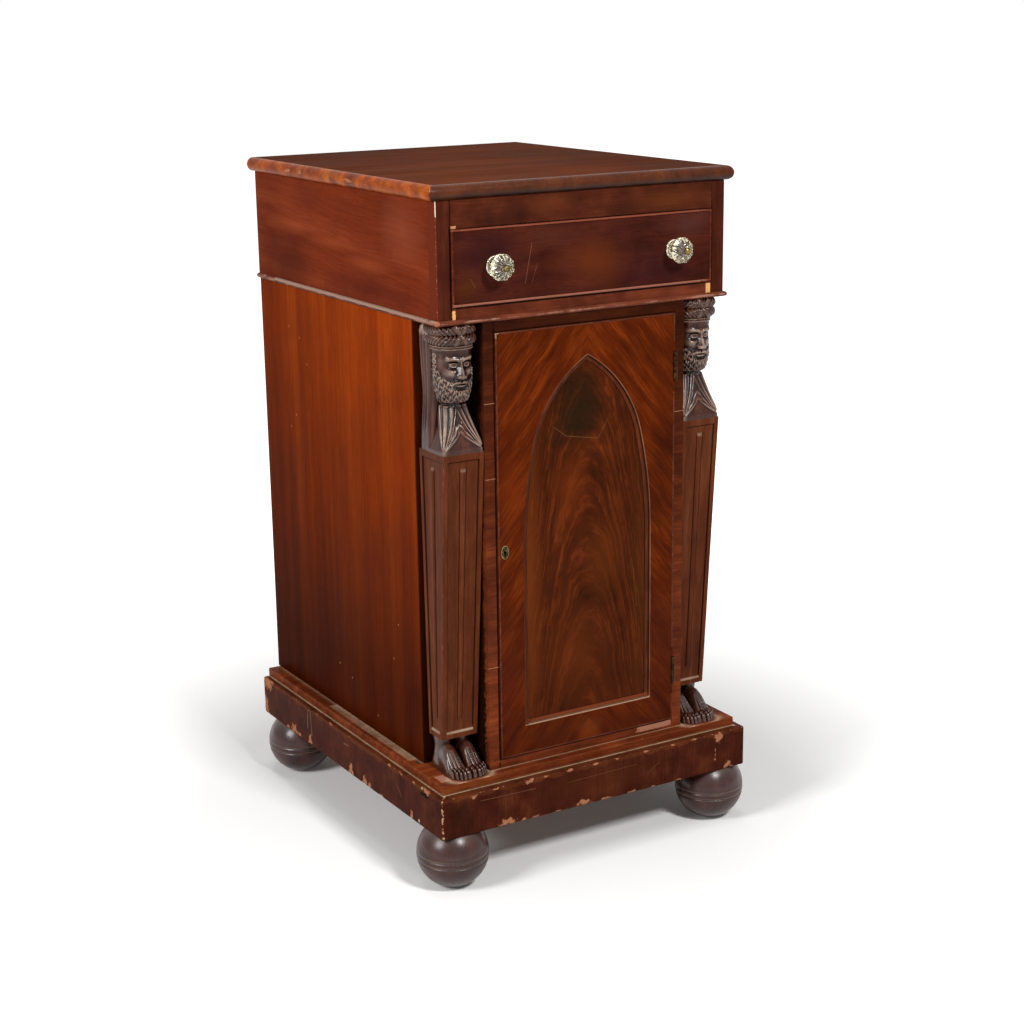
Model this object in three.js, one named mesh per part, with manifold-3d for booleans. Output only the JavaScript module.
// A free-standing side cupboard with one drawer over one door. The door has a sunk panel under a
// pointed arch, and a carved term (bust, tapering shaft and pair of feet) fills each front corner recess.
// Millimetres, +Z up. The front faces -Y, and the origin is on the floor under the middle of the whole.

import * as THREE from 'three';
import { mergeVertices } from 'three/addons/utils/BufferGeometryUtils.js';
import Module from 'manifold-3d';

const wasm = await Module();
wasm.setup();

// Heights, stacked from the floor up
const footHeight = 94;
const plinthHeight = 64.5;
const stepThickness = 14;
const lowerCaseHeight = 688.5;
const upperCaseHeight = 177;
const topThickness = 22;

// Width of the lower case, and how far each other stage stands out past the one that carries it
const lowerCaseWidth = 498;
const upperSideProjection = 1.5;
const topSideProjection = 13;
const stepSideProjection = 21;
const plinthSideProjection = 11;
const caseDepth = 620;
const plinthFrontProjection = 34.5;
const stepFrontProjection = 18.5;
const topFrontProjection = 8.5;
const plinthBackInset = 4;

// Clearances: a seat is the gap of a piece let into its neighbour, an overrun lets a cut pass its face
const seatGap = 0.3;
const overrun = 2;
const weldDistance = 0.0001;

// Ball feet
const ballRadius = 55.6;
const ballFlatRadius = 12;
const ballGrooveSpacing = 10;
const ballGrooveDrop = 4;
const ballGrooveWidth = 2;
const ballGrooveDepth = 1;
const footInsetSide = 39.5;
const footInsetFront = 42;
const footInsetBack = 62;
const spigotRadius = 12;
const spigotLength = 30;

// Plinth and lower case boards
const plinthRailWidth = 80;
const lowerSideThickness = 18;
const backThickness = 10;
const cupboardBottomThickness = 14.5;
const cupboardTopThickness = 16;
const shelfThickness = 14;
const shelfClearHeight = 310;
const recessWidth = 71.5;
const recessDepth = 80.5;
const recessWallThickness = 18;
const cheekThickness = 18;

// Upper case
const caseBottomThickness = 25;
const postWidth = 23.5;
const postDepth = 23;
const caseRailHeight = 41;
const caseRailDepth = 22;
const guideHeight = 20;
const beadHeight = 8;
const beadProjection = 4.5;

// Drawer
const drawerGap = 0.8;
const drawerProud = 1;
const drawerFrontThickness = 20;
const drawerSideThickness = 10;
const drawerSideDrop = 16;
const drawerBackThickness = 10;
const drawerBackDrop = 5;
const drawerBottomThickness = 7;
const drawerBottomRise = 2;
const drawerBackClearance = 0.8;

// Drawer knobs
const knobSpread = 312.5;
const knobRise = 0.8;
const knobLength = 39;
const knobGlassLength = 35.5;
const knobDiscRadius = 20.5;
const knobScallopDepth = 1.2;
const knobNeckRadius = 10.5;
const knobCollarRadius = 14.8;
const knobBoreRadius = 3;
const knobShankRadius = 2.7;
const knobButtonRadius = 4.8;
const knobNutRadius = 6.5;
const knobNutThickness = 4;

// Door
const doorGap = 0.8;
const doorProud = 3;
const doorThickness = 21;
const doorStileWidth = 43.2;
const doorBottomRailHeight = 45;
const doorTopRailHeight = 36;
const panelRecess = 5;
const panelThickness = 9;
const panelRebate = 10;

// Arch of the sunk panel: a long arc from the springing line, then a short arc to the point
const archPointInset = 9.9;
const archLowRadius = 686;
const archLowRise = 160;
const archHighRadius = 196;
const mouldingWidth = 9;
const mouldingProud = 0.6;

// Keyhole, lock and bolt
const keyholeInset = 11.5;
const keyholeHeight = 326.4;
const keyholeRadius = 2.4;
const keyholeSlotWidth = 2.6;
const keyholeSlotLength = 7;
const escutcheonWidth = 13;
const escutcheonHeight = 21.2;
const escutcheonDepth = 3;
const escutcheonProud = 0.5;
const lockWidth = 30;
const lockHeight = 40;
const lockThickness = 11;
const boltHeight = 14;
const boltThickness = 5;
const boltLength = 20;
const boltThrow = 8;

// Butt hinges
const hingeLength = 45;
const hingeEndDistance = 60;
const hingeBarrelRadius = 3.2;
const hingePinRadius = 1.5;
const hingePinGap = 0.1;
const hingeLeafThickness = 1.5;
const hingeLeafWidth = 17;
const hingeAxisProud = 1;
const knuckleGap = 0.3;

// Carved terms, in the corner recesses
const termSideInset = 3;
const termCheekGap = 0.5;
const termTopDepth = 74;
const termBottomDepth = 41;
const termBottomBackInset = 3;
const termBottomOuterInset = 3;
const termBottomInnerInset = 3.2;
const shaftBottomHeight = 52.5;
const fieldBorder = 7.5;
const fieldTopBorder = 10;
const fieldDepth = 2;
const reedTopWidth = 10.5;
const reedBottomWidth = 7;
const reedTopInset = 15;
const reedBottomInset = 24;

// Bust, from the shaft's top to the upper case
const bustHeight = 189;
const bustSlabHeight = 5;
const neckHeight = 68;
const neckHalfWidth = 17.5;
const neckFrontInset = 24;
const chinHeight = 84;
const headHalfWidth = 28.5;
const headFrontInset = 2;
const veilDepth = 38;
const turbanHeight = 159;
const turbanOuterProud = 2.5;
const turbanRollInset = 3.6;
const turbanFrontProud = 3;
const turbanBackDepth = 77.5;
const noseLength = 26;
const noseWidth = 9;
const noseProud = 8;

// Carved pair of feet
const feetFrontProud = 14;
const feetBackInset = 1.5;
const feetOuterInset = 1;
const feetInnerInset = 4.5;
const ankleHalfWidth = 11.5;
const ankleDepth = 30;
const feetOverlap = 1;

// Levels worked out from the stack
const plinthBase = footHeight;
const stepBase = plinthBase + plinthHeight;
const lowerBase = stepBase + stepThickness;
const upperBase = lowerBase + lowerCaseHeight;
const topBase = upperBase + upperCaseHeight;
const cupboardFloor = lowerBase + cupboardBottomThickness;
const cupboardCeiling = upperBase - cupboardTopThickness;
const drawerFloor = upperBase + caseBottomThickness;
const drawerCeiling = topBase - caseRailHeight;

// Widths of the stages
const upperCaseWidth = lowerCaseWidth + 2 * upperSideProjection;
const topWidth = upperCaseWidth + 2 * topSideProjection;
const stepWidth = lowerCaseWidth + 2 * stepSideProjection;
const plinthWidth = stepWidth + 2 * plinthSideProjection;

// Planes across the depth and the width. The front ball feet swell out past the plinth and reach
// furthest to the front, so with the case's back they settle where the middle of the whole lies.
const frontReach = Math.max(drawerProud + knobLength, plinthFrontProjection + ballRadius - footInsetFront);
const caseFront = (frontReach - caseDepth) / 2;
const caseBack = caseFront + caseDepth;
const plinthFront = caseFront - plinthFrontProjection;
const plinthBack = caseBack - plinthBackInset;
const stepFront = caseFront - stepFrontProjection;
const topFront = caseFront - topFrontProjection;
const innerBack = caseBack - backThickness;
const recessFront = caseFront + recessDepth;
const recessRear = recessFront + recessWallThickness;
const lowerOuter = lowerCaseWidth / 2;
const lowerInner = lowerOuter - lowerSideThickness;
const upperOuter = upperCaseWidth / 2;
const blockHalf = lowerOuter - recessWidth;
const openingHalf = blockHalf - cheekThickness;

// Finishes
function finish(color, roughness, metalness = 0) {
  return { color, roughness, metalness };
}
const finishes = {
  veneer: finish(0x5a2412, 0.3),
  sideVeneer: finish(0x7a3614, 0.35),
  topVeneer: finish(0x54301f, 0.35),
  darkVeneer: finish(0x43201a, 0.32),
  flameVeneer: finish(0x532a0e, 0.25),
  carved: finish(0x35231f, 0.35),
  turned: finish(0x33221f, 0.28),
  secondary: finish(0x9a7147, 0.7),
  glass: finish(0xe4e2d2, 0.08),
  brass: finish(0xb08d45, 0.35, 1),
  steel: finish(0x6d6a66, 0.45, 1),
};

const cupboard = new THREE.Group();
cupboard.name = 'side_cupboard';

// Adds one named piece to the cupboard
function addPiece(name, geometry, look) {
  const plain = geometry.index ? geometry : mergeVertices(geometry, weldDistance);
  const mesh = new THREE.Mesh(plain, new THREE.MeshStandardMaterial(look));
  mesh.name = name;
  cupboard.add(mesh);
  return mesh;
}

// Volume of a closed indexed mesh, negative where its faces point inwards
function signedVolume(geometry) {
  const position = geometry.getAttribute('position');
  const index = geometry.index.array;
  const a = new THREE.Vector3();
  const b = new THREE.Vector3();
  const c = new THREE.Vector3();
  let volume = 0;
  for (let i = 0; i < index.length; i += 3) {
    a.fromBufferAttribute(position, index[i]);
    b.fromBufferAttribute(position, index[i + 1]);
    c.fromBufferAttribute(position, index[i + 2]);
    volume += a.dot(b.cross(c)) / 6;
  }
  return volume;
}

// Position-only geometry with shared vertices and its faces pointing out
function closed(geometry) {
  const bare = geometry.clone();
  bare.deleteAttribute('normal');
  bare.deleteAttribute('uv');
  const welded = mergeVertices(bare, weldDistance);
  if (signedVolume(welded) < 0) {
    const index = welded.index.array;
    for (let i = 0; i < index.length; i += 3) {
      [index[i], index[i + 1]] = [index[i + 1], index[i]];
    }
  }
  return welded;
}

function toSolid(geometry) {
  const shape = closed(geometry);
  return new wasm.Manifold(new wasm.Mesh({
    numProp: 3,
    vertProperties: new Float32Array(shape.getAttribute('position').array),
    triVerts: new Uint32Array(shape.index.array),
  }));
}

function fromSolid(solid) {
  const mesh = solid.getMesh();
  const geometry = new THREE.BufferGeometry();
  geometry.setAttribute('position', new THREE.BufferAttribute(new Float32Array(mesh.vertProperties), 3));
  geometry.setIndex(new THREE.BufferAttribute(new Uint32Array(mesh.triVerts), 1));
  return geometry;
}

// The geometry with the tools cut away
function cut(geometry, ...tools) {
  return fromSolid(tools.reduce((rest, tool) => rest.subtract(toSolid(tool)), toSolid(geometry)));
}

// The geometries joined to one body
function join(first, ...others) {
  return fromSolid(others.reduce((whole, other) => whole.add(toSolid(other)), toSolid(first)));
}

// A box between two limits on each axis
function block([x0, x1], [y0, y1], [z0, z1]) {
  const geometry = new THREE.BoxGeometry(Math.abs(x1 - x0), Math.abs(y1 - y0), Math.abs(z1 - z0));
  geometry.translate((x0 + x1) / 2, (y0 + y1) / 2, (z0 + z1) / 2);
  return closed(geometry);
}

// A plan outline of [x, y] points raised between two heights
function slab(outline, z0, z1) {
  const shape = new THREE.Shape(outline.map(([x, y]) => new THREE.Vector2(x, y)));
  const geometry = new THREE.ExtrudeGeometry(shape, { depth: z1 - z0, bevelEnabled: false });
  geometry.translate(0, 0, z0);
  return closed(geometry);
}

// A front outline of [x, z] points, with optional holes, given depth between two y planes
function plate(outline, y0, y1, holes = []) {
  const toPath = (points) => points.map(([x, z]) => new THREE.Vector2(x, z));
  const shape = new THREE.Shape(toPath(outline));
  shape.holes = holes.map((hole) => new THREE.Path(toPath(hole)));
  const geometry = new THREE.ExtrudeGeometry(shape, { depth: y1 - y0, bevelEnabled: false });
  geometry.rotateX(Math.PI / 2);
  geometry.translate(0, y1, 0);
  return closed(geometry);
}

// A closed skin through rings of as many points each, with flat ends or joined end to end
function skin(rings, endless = false) {
  const size = rings[0].length;
  const positions = rings.flat().flatMap((point) => [point.x, point.y, point.z]);
  const index = [];
  const spans = endless ? rings.length : rings.length - 1;
  for (let i = 0; i < spans; i += 1) {
    const low = i * size;
    const high = ((i + 1) % rings.length) * size;
    for (let j = 0; j < size; j += 1) {
      const next = (j + 1) % size;
      index.push(low + j, low + next, high + next, low + j, high + next, high + j);
    }
  }
  if (!endless) {
    const last = (rings.length - 1) * size;
    for (let j = 1; j < size - 1; j += 1) {
      index.push(0, j + 1, j, last, last + j, last + j + 1);
    }
  }
  const geometry = new THREE.BufferGeometry();
  geometry.setAttribute('position', new THREE.Float32BufferAttribute(positions, 3));
  geometry.setIndex(index);
  return closed(geometry);
}

// Mitre direction at each point of a path of plan points, one unit out to the right of its run
function mitres(path, endless) {
  const count = path.length;
  const normal = (from, to) => {
    const run = new THREE.Vector2().subVectors(to, from).normalize();
    return new THREE.Vector2(run.y, -run.x);
  };
  return path.map((point, i) => {
    const hasBefore = endless || i > 0;
    const hasAfter = endless || i < count - 1;
    const before = hasBefore ? normal(path[(i + count - 1) % count], point) : normal(point, path[i + 1]);
    const after = hasAfter ? normal(point, path[(i + 1) % count]) : before;
    const sum = before.clone().add(after);
    return sum.multiplyScalar(2 / sum.lengthSq());
  });
}

// A profile of [outward offset, height] points carried along a plan path with mitred corners
function sweep(path, profile, endless) {
  const outward = mitres(path, endless);
  const rings = path.map((point, i) => profile.map(([offset, height]) => new THREE.Vector3(
    point.x + outward[i].x * offset,
    point.y + outward[i].y * offset,
    height,
  )));
  return skin(rings, endless);
}

// A profile of [radius, height] points turned round the z axis, then put at a place
function turned(profile, segments, [x, y, z]) {
  const geometry = new THREE.LatheGeometry(profile.map(([r, h]) => new THREE.Vector2(r, h)), segments);
  geometry.rotateX(Math.PI / 2);
  geometry.translate(x, y, z);
  return closed(geometry);
}

function cylinder(radius, height, segments, [x, y, z]) {
  return turned([[0, 0], [radius, 0], [radius, height], [0, height]], segments, [x, y, z]);
}

// A geometry turned so that its own +z runs to the front, with its origin at a place
function facingFront(geometry, [x, y, z]) {
  const copy = geometry.clone();
  copy.rotateX(Math.PI / 2);
  copy.translate(x, y, z);
  return closed(copy);
}

// Mirror of a geometry across the middle plane
function mirrored(geometry) {
  const copy = geometry.clone();
  copy.scale(-1, 1, 1);
  return closed(copy);
}

// Adds the left piece and its mirror image on the right
function addPair(name, geometry, look) {
  addPiece(`${name}_left`, geometry, look);
  addPiece(`${name}_right`, mirrored(geometry), look);
}

// Base: ball feet, plinth rails and the stepped board

const footX = plinthWidth / 2 - footInsetSide;
const footPlaces = [
  ['front_left', -footX, plinthFront + footInsetFront],
  ['front_right', footX, plinthFront + footInsetFront],
  ['back_left', -footX, plinthBack - footInsetBack],
  ['back_right', footX, plinthBack - footInsetBack],
];

function ballFoot(x, y) {
  const centre = Math.sqrt(ballRadius ** 2 - ballFlatRadius ** 2);
  const onBall = (angle) => [ballRadius * Math.cos(angle), centre + ballRadius * Math.sin(angle)];
  const arc = (from, to, steps) => Array.from(
    { length: steps + 1 },
    (_, i) => onBall(from + ((to - from) * i) / steps),
  );
  const bottom = -Math.acos(ballFlatRadius / ballRadius);
  const top = Math.asin((footHeight - centre) / ballRadius);
  const halfGroove = ballGrooveWidth / 2 / ballRadius;
  const grooveAngle = (side) => Math.asin((side * ballGrooveSpacing / 2 - ballGrooveDrop) / ballRadius);
  const notch = (angle) => {
    const depth = (ballRadius - ballGrooveDepth) / ballRadius;
    const [r, h] = onBall(angle);
    return [r * depth, centre + (h - centre) * depth];
  };
  const low = grooveAngle(-1);
  const high = grooveAngle(1);
  const profile = [
    [0, 0],
    ...arc(bottom, low - halfGroove, 5),
    notch(low),
    ...arc(low + halfGroove, high - halfGroove, 1),
    notch(high),
    ...arc(high + halfGroove, top, 5),
    [spigotRadius, footHeight],
    [spigotRadius, footHeight + spigotLength],
    [0, footHeight + spigotLength],
  ];
  return turned(profile, 28, [x, y, 0]);
}

function addBase() {
  for (const [place, x, y] of footPlaces) {
    addPiece(`ball_foot_${place}`, ballFoot(x, y), finishes.turned);
  }
  const holes = footPlaces.map(([, x, y]) => cylinder(
    spigotRadius + seatGap,
    spigotLength + seatGap + overrun,
    28,
    [x, y, plinthBase - overrun],
  ));
  const outer = plinthWidth / 2;
  const inner = outer - plinthRailWidth;
  const frontInner = plinthFront + plinthRailWidth;
  const backInner = plinthBack - plinthRailWidth;
  const rail = (outline) => cut(slab(outline, plinthBase, stepBase), ...holes);
  addPiece('plinth_rail_front', rail([
    [-outer, plinthFront], [outer, plinthFront], [inner, frontInner], [-inner, frontInner],
  ]), finishes.veneer);
  addPiece('plinth_rail_back', rail([
    [-inner, backInner], [inner, backInner], [outer, plinthBack], [-outer, plinthBack],
  ]), finishes.secondary);
  addPair('plinth_rail', rail([
    [-outer, plinthFront], [-inner, frontInner], [-inner, backInner], [-outer, plinthBack],
  ]), finishes.veneer);
  addPiece('base_board', block(
    [-stepWidth / 2, stepWidth / 2],
    [stepFront, plinthBack],
    [stepBase, lowerBase],
  ), finishes.veneer);
}

// Lower case: side panels, recess walls, cheeks, boards and back

const doorEdge = openingHalf - doorGap;
const doorFront = caseFront - doorProud;
const doorBack = doorFront + doorThickness;
const doorBottom = cupboardFloor + doorGap;
const doorTop = cupboardCeiling - doorGap;
const keyhole = [-doorEdge + keyholeInset, doorBottom + keyholeHeight];
const boltFront = doorBack - lockThickness / 2 - boltThickness / 2;
const hingeBottoms = [
  ['upper', doorTop - hingeEndDistance - hingeLength],
  ['lower', doorBottom + hingeEndDistance],
];

// Outline of a board that fills the wide back of the cupboard and the neck between the cheeks
function neckedOutline(front) {
  return [
    [-openingHalf, front], [openingHalf, front], [openingHalf, recessRear], [lowerInner, recessRear],
    [lowerInner, innerBack], [-lowerInner, innerBack], [-lowerInner, recessRear], [-openingHalf, recessRear],
  ];
}

function addLowerCase() {
  const levels = [lowerBase, upperBase];
  const side = block([-lowerOuter, -lowerInner], [recessFront, caseBack], levels);
  const wall = block([-lowerInner, -blockHalf], [recessFront, recessRear], levels);
  addPair('lower_side', side, finishes.sideVeneer);
  addPair('recess_wall', wall, finishes.veneer);
  const cheek = block([-blockHalf, -openingHalf], [caseFront, recessRear], levels);
  const boltMortise = block(
    [-openingHalf - boltThrow - seatGap, -openingHalf + overrun],
    [boltFront - seatGap, boltFront + boltThickness + seatGap],
    [keyhole[1] - boltHeight / 2 - seatGap, keyhole[1] + boltHeight / 2 + seatGap],
  );
  addPiece('cheek_left', cut(cheek, boltMortise), finishes.veneer);
  const leafMortises = hingeBottoms.map(([, bottom]) => block(
    [openingHalf - overrun, openingHalf + hingeLeafThickness + seatGap],
    [caseFront - overrun, hingeAxis[1] + hingeLeafWidth + seatGap],
    [bottom - seatGap, bottom + hingeLength + seatGap],
  ));
  addPiece('cheek_right', cut(mirrored(cheek), ...leafMortises), finishes.veneer);
  addPiece('cupboard_bottom', slab(neckedOutline(caseFront), lowerBase, cupboardFloor), finishes.veneer);
  addPiece('cupboard_top', slab(neckedOutline(caseFront), cupboardCeiling, upperBase), finishes.veneer);
  const shelfBase = cupboardFloor + shelfClearHeight;
  const shelf = slab(neckedOutline(doorBack + seatGap), shelfBase, shelfBase + shelfThickness);
  addPiece('cupboard_shelf', shelf, finishes.secondary);
  addPiece('back_panel', block(
    [-lowerInner, lowerInner],
    [innerBack, caseBack],
    [lowerBase, topBase],
  ), finishes.secondary);
}

// Upper case: bottom, posts, sides, rail, guides, bead and top

const drawerHalf = upperOuter - postWidth;
const postBack = caseFront + postDepth;

function addUpperCase() {
  addPiece('case_bottom', slab([
    [-drawerHalf, caseFront], [drawerHalf, caseFront], [drawerHalf, postBack], [lowerInner, postBack],
    [lowerInner, innerBack], [-lowerInner, innerBack], [-lowerInner, postBack], [-drawerHalf, postBack],
  ], upperBase, drawerFloor), finishes.darkVeneer);
  const levels = [upperBase, topBase];
  const post = block([-upperOuter, -drawerHalf], [caseFront, postBack], levels);
  const side = block([-upperOuter, -lowerInner], [postBack, caseBack], levels);
  addPair('corner_post', post, finishes.darkVeneer);
  addPair('upper_side', side, finishes.veneer);
  addPiece('case_rail', block(
    [-drawerHalf, drawerHalf],
    [caseFront, caseFront + caseRailDepth],
    [drawerCeiling, topBase],
  ), finishes.darkVeneer);
  addPair('drawer_guide', block(
    [-lowerInner, -drawerHalf],
    [postBack, innerBack],
    [drawerFloor, drawerFloor + guideHeight],
  ), finishes.secondary);
  addCaseBead();
  addTopBoard();
}

// Half-round bead mitred round the front and the sides at the foot of the upper case
function addCaseBead() {
  const steps = 6;
  const profile = Array.from({ length: steps + 1 }, (_, i) => {
    const angle = (Math.PI * i) / steps;
    return [beadProjection * Math.sin(angle), upperBase + (beadHeight * (1 - Math.cos(angle))) / 2];
  });
  const path = [
    new THREE.Vector2(-upperOuter, caseBack),
    new THREE.Vector2(-upperOuter, caseFront),
    new THREE.Vector2(upperOuter, caseFront),
    new THREE.Vector2(upperOuter, caseBack),
  ];
  addPiece('case_bead', sweep(path, profile, false), finishes.darkVeneer);
}

// Top board with a half-round edge on the front and the sides
function addTopBoard() {
  const steps = 8;
  const nose = topThickness / 2;
  const rings = Array.from({ length: steps + 1 }, (_, i) => {
    const angle = Math.PI * (i / steps - 0.5);
    const inset = nose * (1 - Math.cos(angle));
    const z = topBase + nose * (1 + Math.sin(angle));
    const side = topWidth / 2 - inset;
    return [
      new THREE.Vector3(-side, topFront + inset, z),
      new THREE.Vector3(side, topFront + inset, z),
      new THREE.Vector3(side, caseBack, z),
      new THREE.Vector3(-side, caseBack, z),
    ];
  });
  addPiece('top_board', skin(rings), finishes.topVeneer);
}

// Drawer with its glass knobs

const drawerFace = caseFront - drawerProud;
const knobX = knobSpread / 2;
const knobZ = (drawerFloor + drawerCeiling) / 2 - knobRise;

// Scalloped disc on a waisted neck and a round collar, pierced for its bolt. Each profile point is a
// radius, a share of the glass's length and how much of the scallop it takes.
function knobGlass() {
  const rimShare = 0.86;
  const hollowShare = 0.42;
  const profileShares = [
    [knobBoreRadius, 0, 0],
    [knobCollarRadius, 0, 0],
    [knobCollarRadius, 0.13, 0],
    [knobNeckRadius, 0.22, 0],
    [knobNeckRadius, 0.42, 0],
    [knobDiscRadius, 0.74, 1],
    [knobDiscRadius, 0.88, 1],
    [knobDiscRadius * rimShare, 1, 1],
    [knobDiscRadius * hollowShare, 0.97, 0],
    [knobBoreRadius, 0.95, 0],
  ];
  const lobes = 8;
  const stepsPerLobe = 4;
  const count = lobes * stepsPerLobe;
  const rings = Array.from({ length: count }, (_, i) => {
    const angle = (2 * Math.PI * i) / count;
    const scallop = knobScallopDepth * (1 - Math.abs(Math.sin((lobes * angle) / 2)));
    return profileShares.map(([radius, lengthShare, scallopShare]) => {
      const r = radius - scallop * scallopShare;
      return new THREE.Vector3(r * Math.cos(angle), r * Math.sin(angle), knobGlassLength * lengthShare);
    });
  });
  return skin(rings, true);
}

function knobBolt() {
  const headBase = knobGlassLength + seatGap;
  const domeRise = knobLength - headBase;
  const nutFace = -drawerFrontThickness - seatGap;
  const edgeShare = 0.35;
  const [shoulderRadiusShare, shoulderRiseShare] = [0.8, 0.75];
  return turned([
    [0, nutFace - knobNutThickness],
    [knobNutRadius, nutFace - knobNutThickness],
    [knobNutRadius, nutFace],
    [knobShankRadius, nutFace],
    [knobShankRadius, headBase],
    [knobButtonRadius, headBase],
    [knobButtonRadius, headBase + domeRise * edgeShare],
    [knobButtonRadius * shoulderRadiusShare, headBase + domeRise * shoulderRiseShare],
    [0, knobLength],
  ], 16, [0, 0, 0]);
}

function addDrawer() {
  const half = drawerHalf - drawerGap;
  const inner = half - drawerSideThickness;
  const sideBase = drawerFloor + seatGap;
  const sideTop = drawerCeiling - drawerSideDrop;
  const frontBack = drawerFace + drawerFrontThickness;
  const rear = innerBack - drawerBackClearance;
  const bottomBase = sideBase + drawerBottomRise;
  const bottomTop = bottomBase + drawerBottomThickness;
  const frontLevels = [drawerFloor + drawerGap, drawerCeiling - drawerGap];
  const front = block([-half, half], [drawerFace, frontBack], frontLevels);
  const bores = [-knobX, knobX].map((x) => facingFront(
    cylinder(knobBoreRadius, drawerFrontThickness + 2 * overrun, 16, [0, 0, 0]),
    [x, frontBack + overrun, knobZ],
  ));
  addPiece('drawer_front', cut(front, ...bores), finishes.darkVeneer);
  addPair('drawer_side', block([-half, -inner], [frontBack, rear], [sideBase, sideTop]), finishes.secondary);
  addPiece('drawer_back', block(
    [-inner, inner],
    [rear - drawerBackThickness, rear],
    [bottomTop, sideTop - drawerBackDrop],
  ), finishes.secondary);
  const bottom = block([-inner, inner], [frontBack, rear], [bottomBase, bottomTop]);
  addPiece('drawer_bottom', bottom, finishes.secondary);
  for (const [side, x] of [['left', -knobX], ['right', knobX]]) {
    addPiece(`knob_glass_${side}`, facingFront(knobGlass(), [x, drawerFace, knobZ]), finishes.glass);
    addPiece(`knob_bolt_${side}`, facingFront(knobBolt(), [x, drawerFace, knobZ]), finishes.brass);
  }
}

// Door: frame, spandrels, sunk panel, arch moulding, lock and hinges

const hingeAxis = [(doorEdge + openingHalf) / 2, doorFront - hingeAxisProud];
const archHalf = doorEdge - doorStileWidth;
const panelFace = doorFront + panelRecess;
const sightBottom = doorBottom + doorBottomRailHeight;
const sightTop = doorTop - doorTopRailHeight;

// Right half of the arch from its springing to its point, as [x, z] points. The point sits a little
// below the top rail, and the springing line lies where the two arcs then begin.
function archHalfOutline() {
  const lowCentre = archHalf - archLowRadius;
  const lowEnd = Math.asin(archLowRise / archLowRadius);
  const centreX = lowCentre + (archLowRadius - archHighRadius) * Math.cos(lowEnd);
  const centreRise = (archLowRadius - archHighRadius) * Math.sin(lowEnd);
  const highEnd = Math.acos(-centreX / archHighRadius);
  const archSpring = sightTop - archPointInset - centreRise - archHighRadius * Math.sin(highEnd);
  const highCentre = [centreX, archSpring + centreRise];
  const lowSteps = 4;
  const highSteps = 8;
  const onArc = ([x, z], radius, angle) => [x + radius * Math.cos(angle), z + radius * Math.sin(angle)];
  const low = Array.from(
    { length: lowSteps },
    (_, i) => onArc([lowCentre, archSpring], archLowRadius, (lowEnd * i) / lowSteps),
  );
  const high = Array.from(
    { length: highSteps + 1 },
    (_, i) => onArc(highCentre, archHighRadius, lowEnd + ((highEnd - lowEnd) * i) / highSteps),
  );
  return [...low, ...high];
}

const archRight = archHalfOutline();

// Stile of the left side in plan, with the rebate that holds the panel
function stileOutline() {
  const rebate = archHalf + panelRebate;
  return [
    [-doorEdge, doorFront], [-archHalf, doorFront], [-archHalf, panelFace],
    [-rebate, panelFace], [-rebate, doorBack], [-doorEdge, doorBack],
  ];
}

// Rail between the stiles, seen from the side as [y, z] points, with its sight edge at one height
function doorRail(edge, sight, rebateHeight) {
  const front = block([-archHalf, archHalf], [doorFront, panelFace], [edge, sight]);
  const rebate = archHalf + panelRebate;
  const behind = block([-rebate, rebate], [panelFace, doorBack], [edge, rebateHeight]);
  return join(front, behind);
}

// Oval outline round a middle, as [x, z] points
function oval(width, height, [x, z]) {
  const count = 20;
  return Array.from({ length: count }, (_, i) => {
    const angle = (2 * Math.PI * i) / count;
    return [x + (width / 2) * Math.cos(angle), z + (height / 2) * Math.sin(angle)];
  });
}

// Keyhole outline: a round head over a narrow slot
function keyholeOutline([x, z]) {
  const half = keyholeSlotWidth / 2;
  const start = Math.asin(half / keyholeRadius);
  const steps = 10;
  const head = Array.from({ length: steps + 1 }, (_, i) => {
    const angle = start - Math.PI / 2 + ((2 * Math.PI - 2 * start) * i) / steps;
    return [x + keyholeRadius * Math.cos(angle), z + keyholeRadius * Math.sin(angle)];
  });
  return [[x - half, z - keyholeSlotLength], [x + half, z - keyholeSlotLength], ...head];
}

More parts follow.
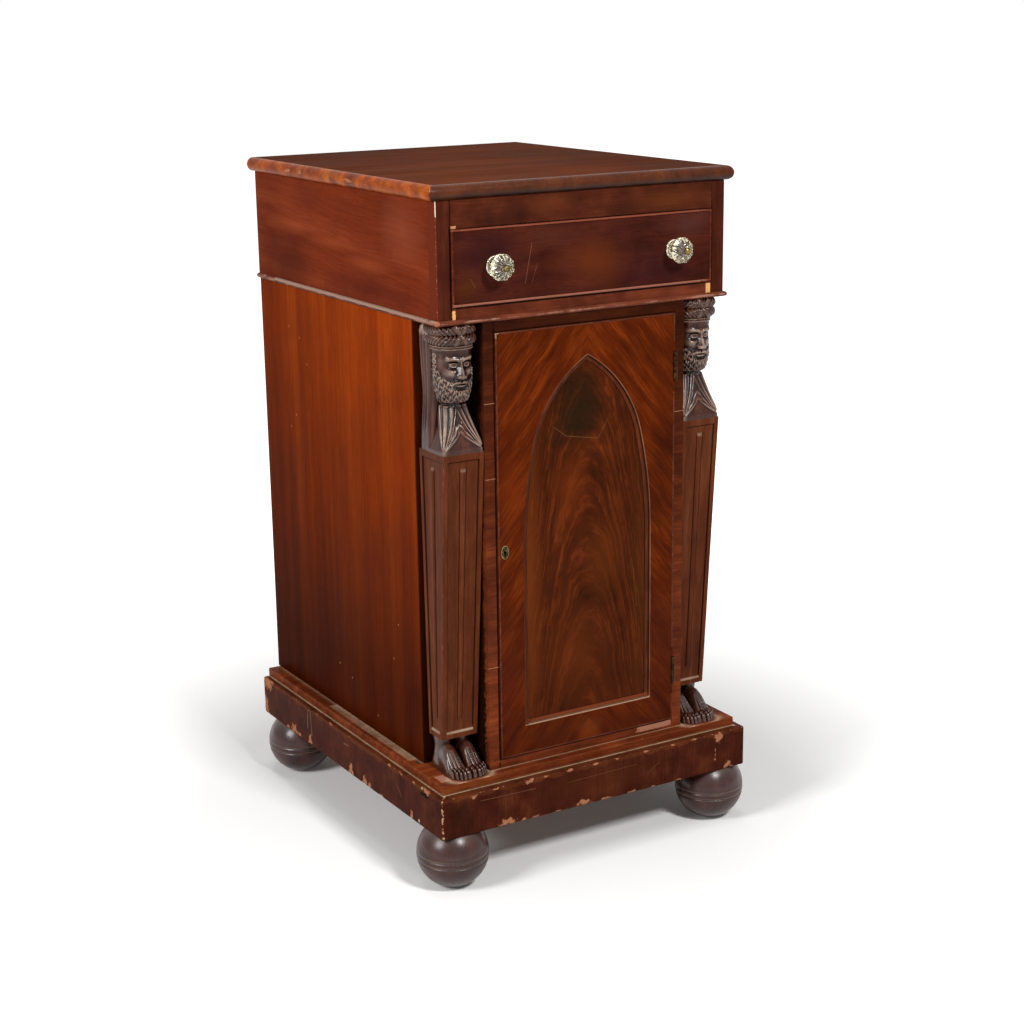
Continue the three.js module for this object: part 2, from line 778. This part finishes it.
function addDoorFrame() {
  const levels = [doorBottom, doorTop];
  const stile = slab(stileOutline(), ...levels);
  const [keyX, keyZ] = keyhole;
  const escutcheonBed = plate(
    oval(escutcheonWidth + 2 * seatGap, escutcheonHeight + 2 * seatGap, keyhole),
    doorFront - overrun,
    doorFront + escutcheonDepth + seatGap,
  );
  const keyway = plate(keyholeOutline(keyhole), doorFront - overrun, doorBack);
  const lockBed = block(
    [-doorEdge - overrun, -doorEdge + lockWidth + seatGap],
    [doorBack - lockThickness - seatGap, doorBack + overrun],
    [keyZ - lockHeight / 2 - seatGap, keyZ + lockHeight / 2 + seatGap],
  );
  addPiece('door_lock_stile', cut(stile, escutcheonBed, keyway, lockBed), finishes.flameVeneer);
  const beds = hingeBottoms.flatMap(([, bottom]) => [
    block(
      [doorEdge - hingeLeafThickness - seatGap, doorEdge + overrun],
      [doorFront - overrun, hingeAxis[1] + hingeLeafWidth + seatGap],
      [bottom - seatGap, bottom + hingeLength + seatGap],
    ),
    cylinder(
      hingeBarrelRadius + seatGap,
      hingeLength + 2 * seatGap,
      24,
      [...hingeAxis, bottom - seatGap],
    ),
  ]);
  addPiece('door_hinge_stile', cut(mirrored(stile), ...beds), finishes.flameVeneer);
  const bottomRebate = sightBottom - panelRebate;
  const topRebate = sightTop + panelRebate;
  addPiece('door_bottom_rail', doorRail(doorBottom, sightBottom, bottomRebate), finishes.flameVeneer);
  addPiece('door_top_rail', doorRail(doorTop, sightTop, topRebate), finishes.flameVeneer);
  const spandrel = plate([...archRight, [0, sightTop], [archHalf, sightTop]], doorFront, panelFace);
  addPiece('door_spandrel_right', spandrel, finishes.flameVeneer);
  addPiece('door_spandrel_left', mirrored(spandrel), finishes.flameVeneer);
  addPiece('door_panel', block(
    [-archHalf - panelRebate + seatGap, archHalf + panelRebate - seatGap],
    [panelFace, panelFace + panelThickness],
    [bottomRebate + seatGap, topRebate - seatGap],
  ), finishes.flameVeneer);
  addArchMoulding();
  const escutcheon = plate(
    oval(escutcheonWidth, escutcheonHeight, keyhole),
    doorFront - escutcheonProud,
    doorFront + escutcheonDepth,
    [keyholeOutline([keyX, keyZ])],
  );
  addPiece('escutcheon', escutcheon, finishes.brass);
}

// Moulding round the sunk panel: a thin upright bead, then a hollow down to the panel
function addArchMoulding() {
  const rise = panelRecess + mouldingProud;
  const hollowShares = [[0.22, 1], [0.36, 0.72], [0.65, 0.42], [1, 0.3]];
  const profile = [
    [-seatGap, 0],
    [-seatGap, rise],
    ...hollowShares.map(([widthShare, riseShare]) => [-mouldingWidth * widthShare, rise * riseShare]),
    [-mouldingWidth, 0],
  ];
  const point = archRight.length - 1;
  const left = archRight.slice(0, point).map(([x, z]) => [-x, z]).reverse();
  const outline = [[archHalf, sightBottom], ...archRight, ...left, [-archHalf, sightBottom]];
  const path = outline.map(([x, z]) => new THREE.Vector2(x, z));
  const flat = sweep(path, profile, true);
  addPiece('arch_moulding', facingFront(flat, [0, panelFace, 0]), finishes.darkVeneer);
}

function addLock() {
  const [, keyZ] = keyhole;
  const boltEnd = -doorEdge + seatGap;
  const boltLevels = [keyZ - boltHeight / 2, keyZ + boltHeight / 2];
  const caseBox = block(
    [-doorEdge, -doorEdge + lockWidth],
    [doorBack - lockThickness, doorBack],
    [keyZ - lockHeight / 2, keyZ + lockHeight / 2],
  );
  const slot = block(
    [-doorEdge - overrun, boltEnd + boltLength + seatGap],
    [boltFront - seatGap, boltFront + boltThickness + seatGap],
    [boltLevels[0] - seatGap, boltLevels[1] + seatGap],
  );
  addPiece('lock_case', cut(caseBox, slot), finishes.steel);
  addPiece('lock_bolt', block(
    [boltEnd, boltEnd + boltLength],
    [boltFront, boltFront + boltThickness],
    boltLevels,
  ), finishes.brass);
}

// Butt hinge of three knuckles: the outer two and the pin belong to the frame's leaf
function addHinge(place, bottom) {
  const [axisX, axisY] = hingeAxis;
  const knuckle = hingeLength / 3;
  const leafFront = axisY + hingeBarrelRadius + seatGap;
  const leafBack = axisY + hingeLeafWidth;
  const middle = [bottom + knuckle + knuckleGap, bottom + 2 * knuckle - knuckleGap];
  const levels = [bottom, bottom + hingeLength];
  const outerKnuckles = [[bottom, bottom + knuckle], [bottom + 2 * knuckle, bottom + hingeLength]];
  const barrel = ([z0, z1]) => cylinder(hingeBarrelRadius, z1 - z0, 16, [axisX, axisY, z0]);
  const frameSide = [openingHalf, openingHalf + hingeLeafThickness];
  const doorSide = [doorEdge - hingeLeafThickness, doorEdge];
  const frameLeaf = join(
    block(frameSide, [leafFront, leafBack], levels),
    ...outerKnuckles.map((span) => block(frameSide, [axisY, leafFront], span)),
    ...outerKnuckles.map(barrel),
    cylinder(hingePinRadius, hingeLength, 16, [axisX, axisY, bottom]),
  );
  const doorBarrel = join(
    block(doorSide, [leafFront, leafBack], levels),
    block(doorSide, [axisY, leafFront], middle),
    barrel(middle),
  );
  const bore = cylinder(
    hingePinRadius + hingePinGap,
    hingeLength + 2 * overrun,
    16,
    [axisX, axisY, bottom - overrun],
  );
  addPiece(`hinge_${place}_frame_leaf`, frameLeaf, finishes.brass);
  addPiece(`hinge_${place}_door_leaf`, cut(doorBarrel, bore), finishes.brass);
}

// Terms: one is modelled in the left recess and mirrored to the right

const termOuter = -lowerOuter + termSideInset;
const termInner = -blockHalf - termCheekGap;
const termMiddle = (termOuter + termInner) / 2;
const termFront = caseFront;
const termBack = termFront + termTopDepth;
const shaftBase = lowerBase + shaftBottomHeight;
const shaftTop = upperBase - bustHeight;
const bustTop = upperBase - seatGap;

// Corners of the shaft at a height, as shares of the way up
function shaftCorners(share) {
  const mix = (low, high) => low + (high - low) * share;
  const outer = mix(termOuter + termBottomOuterInset, termOuter);
  const inner = mix(termInner - termBottomInnerInset, termInner);
  const back = mix(termBack - termBottomBackInset, termBack);
  const front = mix(termBack - termBottomBackInset - termBottomDepth, termFront);
  const z = mix(shaftBase, shaftTop);
  return {
    frontOuter: new THREE.Vector3(outer, front, z),
    frontInner: new THREE.Vector3(inner, front, z),
    backInner: new THREE.Vector3(inner, back, z),
    backOuter: new THREE.Vector3(outer, back, z),
  };
}

// Tapering prism on one face of the shaft: from side a to side b, with its insets at the top and the
// bottom, the width left in from each side there, and its depth under the face
function facePrism(a, b, insets, depth, lift) {
  const height = shaftTop - shaftBase;
  const corner = (name, level) => shaftCorners(level / height)[name];
  const rim = (level, side) => {
    const from = corner(a, level);
    const to = corner(b, level);
    const run = new THREE.Vector3().subVectors(to, from).normalize();
    return [from.addScaledVector(run, side), to.addScaledVector(run, -side)];
  };
  const [lowA, lowB] = rim(insets.bottom, insets.bottomSide);
  const [highA, highB] = rim(height - insets.top, insets.topSide);
  const across = new THREE.Vector3().subVectors(lowB, lowA);
  const up = new THREE.Vector3().subVectors(highA, lowA);
  const normal = new THREE.Vector3().crossVectors(across, up).normalize();
  const face = [lowA, lowB, highB, highA];
  const shifted = (distance) => face.map((point) => point.clone().addScaledVector(normal, distance));
  return skin([shifted(-depth), shifted(lift)]);
}

// Sunk field of one face, with the raised reed left standing down its middle
function fieldCutter(a, b) {
  const top = shaftCorners(1);
  const bottom = shaftCorners(0);
  const faceTopWidth = top[a].distanceTo(top[b]);
  const faceBottomWidth = bottom[a].distanceTo(bottom[b]);
  const field = facePrism(a, b, {
    top: fieldTopBorder,
    bottom: fieldBorder,
    topSide: fieldBorder,
    bottomSide: fieldBorder,
  }, fieldDepth, overrun);
  const reed = facePrism(a, b, {
    top: fieldTopBorder + reedTopInset,
    bottom: fieldBorder + reedBottomInset,
    topSide: (faceTopWidth - reedTopWidth) / 2,
    bottomSide: (faceBottomWidth - reedBottomWidth) / 2,
  }, fieldDepth + overrun, 2 * overrun);
  return cut(field, reed);
}

function termShaft() {
  const names = ['frontOuter', 'frontInner', 'backInner', 'backOuter'];
  const ring = (share) => names.map((name) => shaftCorners(share)[name]);
  const body = skin([ring(0), ring(1)]);
  return cut(body, fieldCutter('frontOuter', 'frontInner'), fieldCutter('backOuter', 'frontOuter'));
}

// Two sides at a half width from the term's middle
function sides(half) {
  return [termMiddle - half, termMiddle + half];
}

// Ring of a rounded rectangle between two sides, a front and a back, with how square it is
function roundedRing(z, [left, right], [front, back], power, count = 24) {
  const centre = (left + right) / 2;
  const half = (right - left) / 2;
  const middle = (front + back) / 2;
  const depth = (back - front) / 2;
  const bulge = (value) => Math.sign(value) * Math.abs(value) ** (2 / power);
  return Array.from({ length: count }, (_, i) => {
    const angle = (2 * Math.PI * (i + 0.5)) / count;
    return new THREE.Vector3(
      centre + half * bulge(Math.cos(angle)),
      middle + depth * bulge(Math.sin(angle)),
      z,
    );
  });
}

// Bust: chest, neck and bearded head in one skin, a veil behind it, and a turban of two rolls on top
function termBust() {
  const half = (termInner - termOuter) / 2;
  const neckFront = termFront + neckFrontInset;
  const headFront = termFront + headFrontInset;
  const chest = (share) => ({
    half: half + (neckHalfWidth - half) * share,
    front: termFront + (neckFront - termFront) * share,
    z: shaftTop + bustSlabHeight + (neckHeight - bustSlabHeight) * share,
  });
  const chestShares = [0, 0.25, 0.55, 0.8, 1];
  const chestPowers = [14, 7, 4, 3, 2.5];
  const headBack = termBack - veilDepth / 2;
  const chestRings = chestShares.map((share, i) => {
    const level = chest(share);
    return roundedRing(level.z, sides(level.half), [level.front, headBack], chestPowers[i]);
  });
  const headShares = [
    [0, 0.72, 0.28], [0.12, 0.84, 0.06], [0.35, 0.94, 0], [0.65, 1, 0.03], [1, 1, 0.02],
  ];
  const headRings = headShares.map(([heightShare, widthShare, frontShare]) => roundedRing(
    shaftTop + chinHeight + (turbanHeight - chinHeight) * heightShare,
    sides(headHalfWidth * widthShare),
    [headFront + neckFrontInset * frontShare, headBack],
    2.5,
  ));
  const slabRing = roundedRing(shaftTop, sides(half), [termFront, headBack], 14);
  const body = skin([slabRing, ...chestRings, ...headRings]);
  const veil = skin([0, 1].map((share) => roundedRing(
    shaftTop + turbanHeight * share,
    sides(half),
    [termBack - veilDepth, termBack],
    10,
  )));
  return join(body, veil, turban(), nose(headFront));
}

function turban() {
  const base = shaftTop + turbanHeight;
  const height = bustTop - base;
  const lowerShares = [[0, 1], [0.09, 0.2], [0.25, 0], [0.41, 0.2], [0.5, 1]];
  const raise = ([heightShare, insetShare]) => [heightShare + 0.5, insetShare];
  const upperShares = lowerShares.slice(1).map(raise);
  return skin([...lowerShares, ...upperShares].map(([heightShare, insetShare]) => {
    const inset = turbanRollInset * insetShare;
    return roundedRing(
      base + height * heightShare,
      [termOuter - turbanOuterProud + inset, termInner - inset],
      [termFront - turbanFrontProud + inset, termFront + turbanBackDepth - inset],
      3,
    );
  }));
}

function nose(headFront) {
  const base = shaftTop + (chinHeight + turbanHeight) / 2 - noseLength / 2;
  const ring = (heightShare, widthShare, proudShare) => {
    const half = (noseWidth / 2) * widthShare;
    const z = base + noseLength * heightShare;
    const tip = headFront - noseProud * proudShare;
    return [
      new THREE.Vector3(termMiddle - half, headFront + noseWidth, z),
      new THREE.Vector3(termMiddle - half / 2, tip, z),
      new THREE.Vector3(termMiddle + half / 2, tip, z),
      new THREE.Vector3(termMiddle + half, headFront + noseWidth, z),
    ];
  };
  const noseShares = [[0, 0.8, 0.3], [0.18, 1, 1], [1, 0.45, 0.1]];
  return skin(noseShares.map((shares) => ring(...shares)));
}

// Stations of one carved foot: shares of its length from the heel, of its half width and of its height
const footStationShares = [
  [0, 0.45, 0.42], [0.08, 0.66, 0.8], [0.22, 0.72, 1], [0.38, 0.78, 1],
  [0.5, 0.84, 0.74], [0.66, 0.94, 0.5], [0.84, 1, 0.34], [0.95, 0.95, 0.24], [1, 0.8, 0.1],
];
const instepShare = 0.86;

// One bare foot lying along -Y between two sides, flat underneath and domed on top
function carvedFoot(outer, inner, toeEnd) {
  const heel = termBack - feetBackInset;
  const middle = (outer + inner) / 2;
  const half = (inner - outer) / 2;
  const count = 9;
  return skin(footStationShares.map(([lengthShare, widthShare, heightShare]) => {
    const y = heel + (toeEnd - heel) * lengthShare;
    const width = half * widthShare;
    const height = shaftBottomHeight * instepShare * heightShare;
    return Array.from({ length: count + 1 }, (_, i) => {
      const angle = (Math.PI * i) / count;
      const z = lowerBase + height * Math.sin(angle) ** 0.7;
      return new THREE.Vector3(middle + width * Math.cos(angle), y, z);
    });
  }));
}

function termFeet() {
  const outer = termOuter + feetOuterInset;
  const inner = termInner - feetInnerInset;
  const middle = (outer + inner) / 2;
  const toeEnd = termFront - feetFrontProud;
  const ankleShares = [[0, 1], [0.7, 0.92], [1, 1]];
  const back = termBack - termBottomBackInset - feetBackInset;
  const ankle = (centre) => skin(ankleShares.map(([heightShare, widthShare]) => roundedRing(
    lowerBase + shaftBottomHeight * heightShare,
    [centre - ankleHalfWidth * widthShare, centre + ankleHalfWidth * widthShare],
    [back - ankleDepth * widthShare, back],
    2.5,
    16,
  )));
  return join(
    ankle((outer + middle) / 2),
    ankle((middle + inner) / 2),
    carvedFoot(outer, middle + feetOverlap / 2, toeEnd),
    carvedFoot(middle - feetOverlap / 2, inner, toeEnd),
  );
}

function addTerms() {
  addPair('term_bust', termBust(), finishes.carved);
  addPair('term_shaft', termShaft(), finishes.carved);
  addPair('term_feet', termFeet(), finishes.carved);
}

addBase();
addLowerCase();
addUpperCase();
addTerms();
addDoorFrame();
addLock();
for (const [place, bottom] of hingeBottoms) {
  addHinge(place, bottom);
}
addDrawer();

export default cupboard;
